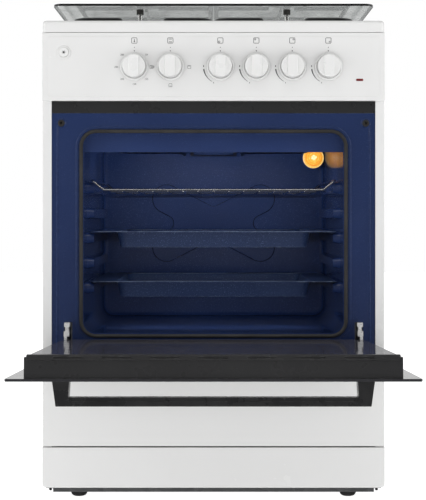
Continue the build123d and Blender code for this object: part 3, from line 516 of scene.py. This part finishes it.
# %% Glow of the lamp cover: a bright cut square, rings of pressed facets, a pale rim
lamp_low, lamp_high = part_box("oven_lamp_lens")
lamp_centre = (lamp_low + lamp_high) / 2
lens_radius = (lamp_high.x - lamp_low.x) / 2
tree = lamp.node_tree
coordinate = tree.nodes.new("ShaderNodeTexCoord")
offset = tree.nodes.new("ShaderNodeVectorMath")
offset.operation = "SUBTRACT"
offset.inputs[1].default_value = (lamp_centre.x, lamp_low.y, lamp_centre.z)
tree.links.new(coordinate.outputs["Object"], offset.inputs[0])
parts = tree.nodes.new("ShaderNodeSeparateXYZ")
tree.links.new(offset.outputs[0], parts.inputs[0])
across, up = parts.outputs["X"], parts.outputs["Z"]
squares = math(tree, "ADD", math(tree, "MULTIPLY", across, across), math(tree, "MULTIPLY", up, up))
radius = math(tree, "POWER", squares, 0.5)
STAR_TURN = 0.35
first_side = math(tree, "ADD", across, math(tree, "MULTIPLY", up, STAR_TURN))
second_side = math(tree, "SUBTRACT", up, math(tree, "MULTIPLY", across, STAR_TURN))
first_size = math(tree, "ABSOLUTE", first_side, 0.0)
tilted = math(tree, "ADD", first_size, math(tree, "ABSOLUTE", second_side, 0.0))
star = remap(tree, tilted, 0.0065, 0.0085, 1.0, 0.0)
RING_PITCH = 0.0042
rings = math(tree, "SINE", math(tree, "MULTIPLY", radius, 2 * pi / RING_PITCH), 0.0)
facets = noise(tree, coordinate.outputs["Object"], 330.0, 1.0)
fall = remap(tree, radius, 0.004, lens_radius * 0.86, 0.62, 0.34)
rim = remap(tree, radius, lens_radius * 0.80, lens_radius * 0.93, 0.0, 0.50)
heat = math(tree, "ADD", math(tree, "ADD", fall, rim), math(tree, "MULTIPLY", rings, 0.13))
speckle = math(tree, "MULTIPLY", math(tree, "SUBTRACT", facets, 0.5), 0.75)
heat = math(tree, "ADD", heat, speckle)
cut_star = math(tree, "MULTIPLY", star, remap(tree, facets, 0.35, 0.65, 0.82, 1.0))
heat = math(tree, "MAXIMUM", heat, cut_star)
ramp = tree.nodes.new("ShaderNodeValToRGB")
ramp.color_ramp.elements[0].color = (0.30, 0.07, 0.004, 1)
ramp.color_ramp.elements[1].color = (1.0, 0.93, 0.70, 1)
AMBERS = ((0.38, (0.78, 0.27, 0.012, 1)), (0.62, (0.92, 0.47, 0.06, 1)), (0.80, (0.95, 0.66, 0.24, 1)))
for place, colour in AMBERS:
    warm = ramp.color_ramp.elements.new(place)
    warm.color = colour
tree.links.new(heat, ramp.inputs["Fac"])
shader = tree.nodes["Principled BSDF"]
tree.links.new(ramp.outputs["Color"], shader.inputs["Emission Color"])
lens_ray = tree.nodes.new("ShaderNodeLightPath")
LAMP_GLOW, LAMP_GLOW_LOST_IN_MIRRORS = 0.92, 0.72
lost = math(tree, "MULTIPLY", lens_ray.outputs["Is Glossy Ray"], LAMP_GLOW_LOST_IN_MIRRORS)
dim = math(tree, "SUBTRACT", LAMP_GLOW, lost)
tree.links.new(dim, shader.inputs["Emission Strength"])

# %% [markdown]
# ## Dressing the frame
# Each part of the frame already knows its finish by slot, so one loop hands out the materials.
# Curved parts are shaded smooth while folds sharper than about thirty degrees stay crisp. The lid
# rests are the one part with two materials, a rubber cap on a metal pin.

# %% Materials on the frame's parts
slot_of = {entry["node"]: entry["material_slot"] for entry in frame["record"]["subparts"]}
own_finish = {
    "door_inner_glass": "inner_glass",
    "baking_tray_upper": "tray_enamel",
    "baking_tray_lower": "tray_enamel",
}
for name, obj in frame["nodes"].items():
    obj.data.materials.clear()
    obj.data.materials.append(FINISHES[own_finish.get(name, slot_of[name])])
    smooth(obj, 32)
print("dressed", len(slot_of), "parts")

# %% Lid rests: a black rubber cap on a bright pin, told apart by height
CAP_TALL = 9.2 * MM
cap_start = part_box("lid_bumpers")[1].z - CAP_TALL
rest = FINISHES["rubber_seal"].copy()
rest.name = "lid_rest"
tree = rest.node_tree
shader = tree.nodes["Principled BSDF"]
height = tree.nodes.new("ShaderNodeSeparateXYZ")
tree.links.new(tree.nodes.new("ShaderNodeTexCoord").outputs["Object"], height.inputs[0])
pin_mask = remap(tree, height.outputs["Z"], cap_start, cap_start - 0.2 * MM, 0.0, 1.0)
rubber_colour = shader.inputs["Base Color"].links[0].from_socket
two_tone = mix(tree, pin_mask, rubber_colour, (0.62, 0.62, 0.61, 1))
tree.links.new(two_tone, shader.inputs["Base Color"])
rubber_rough = shader.inputs["Roughness"].links[0].from_socket
pin_shine = math(tree, "MULTIPLY", pin_mask, 0.35)
tree.links.new(math(tree, "SUBTRACT", rubber_rough, pin_shine), shader.inputs["Roughness"])
tree.links.new(pin_mask, shader.inputs["Metallic"])
frame["nodes"]["lid_bumpers"].data.materials[0] = rest

# %% [markdown]
# ## The oven gasket
# The door closes on a woven seal round the oven's mouth. It is a rope in a groove: round in
# section, flattened where it sits, with a fine braid. A profile swept round a rounded rectangle
# makes it in one ring, and a small wave in its radius stands for the braid.

# %% Sweep a braided ring
def rounded_rectangle(half_wide, low, high, corner, step=0.004):
    points = []
    centres = [
        (half_wide - corner, high - corner, 0),
        (-half_wide + corner, high - corner, 90),
        (-half_wide + corner, low + corner, 180),
        (half_wide - corner, low + corner, 270),
    ]
    arc_steps = max(6, int(corner * pi / 2 / step))
    for index, (cx, cz, start) in enumerate(centres):
        for turn_step in range(arc_steps + 1):
            angle = radians(start + 90 * turn_step / arc_steps)
            normal = Vector((cos(angle), 0, sin(angle)))
            points.append((Vector((cx, 0, cz)) + normal * corner, normal))
        nx, nz = centres[(index + 1) % 4][:2]
        angle = radians(start + 90)
        normal = Vector((cos(angle), 0, sin(angle)))
        begin = Vector((cx, 0, cz)) + normal * corner
        end = Vector((nx, 0, nz)) + normal * corner
        runs = max(1, int((end - begin).length / step))
        for run in range(1, runs):
            points.append((begin.lerp(end, run / runs), normal))
    return points


def gasket():
    low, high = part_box("oven_gasket")
    half_wide = high.x - 0.0034
    path = rounded_rectangle(half_wide, low.z + 0.0034, high.z - 0.0034, 0.0265, 0.0022)
    radius, sides = 0.0032, 14
    depth_mid = (low.y + high.y) / 2
    points, faces = [], []
    for place, (point, normal) in enumerate(path):
        for side in range(sides):
            angle = 2 * pi * side / sides
            braid = 1.0 + 0.045 * sin(place * pi / 2 + side * pi / 3.5)
            out = normal * cos(angle) * radius * braid
            forward = Vector((0, sin(angle) * (high.y - low.y) * 0.49 * braid, 0))
            forward.y = max(min(forward.y, high.y - depth_mid), low.y - depth_mid)
            points.append(Vector((point.x, depth_mid, point.z)) + out + forward)
    count = len(path)
    for place in range(count):
        following = (place + 1) % count
        for side in range(sides):
            beside = (side + 1) % sides
            faces.append((place * sides + side, place * sides + beside,
                          following * sides + beside, following * sides + side))
    seal = piece("gasket_rope", points, faces, FINISHES["rubber_seal"], "cabinet")
    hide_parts("oven_gasket")
    print("gasket points", len(points))


gasket()

# %% [markdown]
# ## Printed dials
# The control panel is screen printed in dark grey. Each mark is a thin plate on the panel's face, a
# tenth of a millimetre thick, so it is real geometry with a hard edge. All marks are built from
# three shapes: a closed outline, a ring between two outlines, and a row of generic numbers.

# %% Print shapes
PRINT_DEPTH = -0.12
INK = FINISHES["dial_print"]
marks = {"points": [], "faces": []}


def print_plate(outline):
    start = len(marks["points"])
    count = len(outline)
    for depth in (PRINT_DEPTH, 0.05):
        marks["points"] += [at(x, depth, z) for x, z in outline]
    marks["faces"].append(tuple(range(start, start + count)))
    marks["faces"].append(tuple(reversed(range(start + count, start + 2 * count))))
    for i in range(count):
        j = (i + 1) % count
        marks["faces"].append((start + i, start + j, start + count + j, start + count + i))


def print_stroke(line, wide, closed=False):
    count = len(line)
    pieces = count if closed else count - 1
    for i in range(pieces):
        (x0, z0), (x1, z1) = line[i], line[(i + 1) % count]
        length = max(((x1 - x0) ** 2 + (z1 - z0) ** 2) ** 0.5, 1e-6)
        w0 = wide[i] if isinstance(wide, list) else wide
        w1 = wide[(i + 1) % count] if isinstance(wide, list) else wide
        nx, nz = -(z1 - z0) / length / 2, (x1 - x0) / length / 2
        print_plate([
            (x0 + nx * w0, z0 + nz * w0), (x0 - nx * w0, z0 - nz * w0),
            (x1 - nx * w1, z1 - nz * w1), (x1 + nx * w1, z1 + nz * w1),
        ])


def circle_line(x, z, radius, start=0, end=360, steps=16):
    angles = [radians(start + (end - start) * i / steps) for i in range(steps + 1)]
    return [(x + radius * cos(a), z + radius * sin(a)) for a in angles]


def rounded_square(x, z, half, corner):
    line = []
    inset = half - corner
    for cx, cz, start in ((1, 1, 0), (-1, 1, 90), (-1, -1, 180), (1, -1, 270)):
        line += circle_line(x + cx * inset, z + cz * inset, corner, start, start + 90, 4)
    return line


def flame(x, z, size):
    line = [(0, 1.0), (0.42, 0.25), (0.5, -0.25), (0.28, -0.7), (0, -0.85), (-0.28, -0.7), (-0.5, -0.25),
            (-0.42, 0.25)]
    print_plate([(x + size * px, z + size * pz) for px, pz in line])


# %% Marks above every knob
def knob_centre(node):
    centre = middle(node)
    return centre.x / MM, centre.z / MM


THERMOSTAT = knob_centre("thermostat_knob")
SELECTOR = knob_centre("selector_knob")
BURNERS = {
    "front_left": (-1, -1, 1.5),
    "rear_left": (-1, 1, 1.2),
    "rear_right": (1, 1, 1.2),
    "front_right": (1, -1, 1.0),
}
ICON_Z = 46.3
ICON_HALF = 4.7
LINE = 0.9


def head_marks(x, z):
    print_plate(circle_line(x, z + 34.4, 0.75, steps=10)[:-1])
    print_plate(circle_line(x, z + 28.3, 1.0, steps=10)[:-1])
    print_stroke(rounded_square(x, z + ICON_Z, ICON_HALF, 1.3), LINE, closed=True)


for x, z in [THERMOSTAT, SELECTOR]:
    head_marks(x, z)
x, z = THERMOSTAT
print_stroke([(x, z + ICON_Z + 2.6), (x, z + ICON_Z - 0.5)], 1.1)
print_plate(circle_line(x, z + ICON_Z - 1.7, 1.3, steps=12)[:-1])
x, z = SELECTOR
print_stroke([(x - 2.8, z + ICON_Z + 2.5), (x + 2.8, z + ICON_Z + 2.5)], LINE)
print_stroke([(x - 2.8, z + ICON_Z - 2.5), (x + 2.8, z + ICON_Z - 2.5)], 1.2)

# %% Burner dials: position icon, two flames and a tapering arc
DIAL = 29.3
for name, (side, row, dot) in BURNERS.items():
    x, z = knob_centre("burner_knob_" + name)
    head_marks(x, z)
    print_stroke(circle_line(x + side * 2.1, z + ICON_Z + row * 2.1, dot, steps=12), LINE * 0.9)
    arc = circle_line(x, z, DIAL, 187, 240, 18)
    print_stroke(arc, [2.2 - 1.7 * i / 18 for i in range(19)])
    flame(x - DIAL, z + 1.6, 1.9)
    flame(x + DIAL * cos(radians(246)), z + DIAL * sin(radians(246)) - 0.8, 1.35)

# %% Selector symbols: fan-less oven modes as boxes with top or bottom bars
for angle, top, bottom in ((0, True, False), (-90, False, True), (180, True, True)):
    x = SELECTOR[0] + 33 * cos(radians(angle))
    z = SELECTOR[1] + 32 * sin(radians(angle))
    print_stroke(rounded_square(x, z, 2.8, 0.7), 0.5, closed=True)
    if top:
        print_stroke([(x - 1.7, z + 1.5), (x + 1.7, z + 1.5)], 0.7)
    if bottom:
        print_stroke([(x - 1.7, z - 1.5), (x + 1.7, z - 1.5)], 0.7)

# %% One object for all the marks
piece("panel_print", marks["points"], marks["faces"], INK, "cabinet")
print("print plates", len(marks["faces"]))

# %% [markdown]
# ## Numbers on the thermostat
# The thermostat is marked in degrees every eighth of a turn. Text objects with a little depth give
# clean numerals, and each stands upright on the panel at the dial's radius.

# %% Thermostat numbers
for step, number in enumerate(("50", "100", "125", "150", "200", "240", "280")):
    angle = radians(90 - 45 * (step + 1))
    text = bpy.data.curves.new("degrees_" + number, "FONT")
    text.body = number
    text.size = 4.4 * MM
    text.extrude = 0.06 * MM
    text.align_x = "CENTER"
    text.align_y = "CENTER"
    text.materials.append(INK)
    obj = bpy.data.objects.new("degrees_" + number, text)
    bpy.context.scene.collection.objects.link(obj)
    reach = DIAL + (2.5 if step in (1, 5) else 0.8)
    x, z = THERMOSTAT[0] + reach * cos(angle), THERMOSTAT[1] + reach * sin(angle)
    obj.location = at(x, PRINT_DEPTH / 2, z)
    obj.rotation_euler = (radians(90), 0, 0)
    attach(obj, "cabinet")

# %% Spark symbol on the button
def button_print():
    low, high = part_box("ignition_button")
    centre = (low + high) / 2
    front = low.y - 0.00008
    star = []
    for i in range(12):
        radius = (3.6 if i % 2 == 0 else 1.5) * MM
        angle = 2 * pi * i / 12
        star.append((centre.x + radius * cos(angle), centre.z + radius * sin(angle)))
    points = [Vector((x, front, z)) for x, z in star] + [Vector((x, low.y + 0.0001, z)) for x, z in star]
    faces = [tuple(range(12)), tuple(reversed(range(12, 24)))]
    faces += [(i, (i + 1) % 12, 12 + (i + 1) % 12, 12 + i) for i in range(12)]
    piece("spark_mark", points, faces, INK, "igniter")


button_print()

# %% [markdown]
# ## Floor and backdrop
# A wide pale sheet lies under the range and runs out to a white world, so no room shows. It glows
# a little, as paper lit from all round does, and keeps only a soft shade under the plinth. In
# mirror reflections it is kept dim, so the dark glass and blue enamel stay deep.

# %% Floor
def floor():
    reach = 9.0
    mesh = bpy.data.meshes.new("studio_floor")
    corners = [(-reach, -reach, 0), (reach, -reach, 0), (reach, reach, 0), (-reach, reach, 0)]
    mesh.from_pydata(corners, [], [(0, 1, 2, 3)])
    sheet = bpy.data.objects.new("studio_floor", mesh)
    bpy.context.scene.collection.objects.link(sheet)
    paper = bpy.data.materials.new("studio_paper")
    paper.use_nodes = True
    tree = paper.node_tree
    shader = tree.nodes["Principled BSDF"]
    shader.inputs["Base Color"].default_value = (0.8, 0.8, 0.8, 1)
    shader.inputs["Roughness"].default_value = 0.9
    shader.inputs["Emission Color"].default_value = (1, 1, 1, 1)
    ray = tree.nodes.new("ShaderNodeLightPath")
    seen = math(tree, "MULTIPLY", ray.outputs["Is Camera Ray"], 0.10)
    tree.links.new(math(tree, "ADD", seen, 0.88), shader.inputs["Emission Strength"])
    deep = tree.nodes.new("ShaderNodeEmission")
    deep.inputs["Strength"].default_value = 0.12
    choose = tree.nodes.new("ShaderNodeMixShader")
    tree.links.new(ray.outputs["Is Glossy Ray"], choose.inputs[0])
    tree.links.new(shader.outputs[0], choose.inputs[1])
    tree.links.new(deep.outputs[0], choose.inputs[2])
    tree.links.new(choose.outputs[0], tree.nodes["Material Output"].inputs["Surface"])
    mesh.materials.append(paper)


floor()

# %% [markdown]
# ## Light
# White goods want broad, soft light: a large panel on each side and one overhead, with a pale
# world to fill. The side behind the camera is kept darker, so the dark glass and the blue enamel
# mirror something deep instead of a white room. The oven lamp is a small warm light in its cover.

# %% World: white to the eye, even for diffuse light, darker behind the camera for reflections
world = bpy.data.worlds.new("studio_world")
bpy.context.scene.world = world
world.use_nodes = True
tree = world.node_tree
background = tree.nodes["Background"]
direction = tree.nodes.new("ShaderNodeTexCoord")
split = tree.nodes.new("ShaderNodeSeparateXYZ")
tree.links.new(direction.outputs["Generated"], split.inputs[0])
ahead = remap(tree, split.outputs["Y"], -0.75, 0.2, 0.09, 1.0)
behind = remap(tree, split.outputs["Y"], 0.86, 0.97, 1.0, 0.72)
mirrored = math(tree, "MULTIPLY", ahead, behind)
ray = tree.nodes.new("ShaderNodeLightPath")
level = math(tree, "ADD", 0.34, math(tree, "MULTIPLY", ray.outputs["Is Camera Ray"], 0.66))
shiny = ray.outputs["Is Glossy Ray"]
level = math(tree, "ADD", math(tree, "MULTIPLY", level, math(tree, "SUBTRACT", 1.0, shiny)),
             math(tree, "MULTIPLY", mirrored, shiny))
tree.links.new(level, background.inputs["Strength"])
background.inputs["Color"].default_value = (1, 1, 1, 1)


# %% Lamps
def soft_light(name, place, target, size, power, mirrored_too=True):
    data = bpy.data.lights.new(name, "AREA")
    data.shape = "RECTANGLE"
    data.size, data.size_y = size
    data.energy = power
    obj = bpy.data.objects.new(name, data)
    bpy.context.scene.collection.objects.link(obj)
    obj.location = place
    obj.rotation_euler = (Vector(target) - Vector(place)).to_track_quat("-Z", "Y").to_euler()
    obj.visible_glossy = mirrored_too
    obj.visible_camera = False
    return obj


centre = at(0, 100, 450)
soft_light("front_fill", at(0, -2600, 120), centre, (2.8, 1.2), 26, False)
soft_light("left_strip", at(-2300, -900, 1000), centre, (0.35, 2.4), 11)
soft_light("right_strip", at(2300, -900, 900), centre, (0.35, 2.4), 9)
soft_light("high_front", at(0, -1900, 2300), centre, (2.6, 0.30), 6)
soft_light("overhead", at(0, -300, 3000), centre, (2.6, 2.2), 3)

# %% Small fills that reach into the oven, above each tray and over its floor
mouth = middle("oven_gasket")
tray_bottoms = [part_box(node)[0].z for node in ("baking_tray_lower", "baking_tray_upper")]
oven_low, oven_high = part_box("oven_liner")
before, inside = mouth - Vector((0, 0.05, 0)), mouth + Vector((0, 0.5, -0.03))
soft_light("mouth_fill", before, inside, (0.40, 0.30), 0.30, False)
for name, height, power, drop in (
    ("fill_top", oven_high.z - 0.036, 0.75, 0.5),
    ("fill_middle", tray_bottoms[1] - 0.004, 0.36, 0.25),
    ("fill_low", tray_bottoms[0] - 0.004, 0.42, 0.7),
):
    start = Vector((0, oven_low.y + 0.10, height))
    soft_light(name, start, start + Vector((0, 1.0, -drop)), (0.36, 0.02), power, False)
glow = bpy.data.lights.new("oven_glow", "POINT")
glow.energy = 0.012
glow.color = (1.0, 0.60, 0.25)
glow.shadow_soft_size = 0.012
glow_place = bpy.data.objects.new("oven_glow", glow)
bpy.context.scene.collection.objects.link(glow_place)
glow_place.location = (lamp_centre.x, lamp_low.y - 0.035, lamp_centre.z)
glow_place.visible_glossy = False

# %% Colour handling
bpy.context.scene.view_settings.view_transform = "Standard"
bpy.context.scene.view_settings.look = "None"
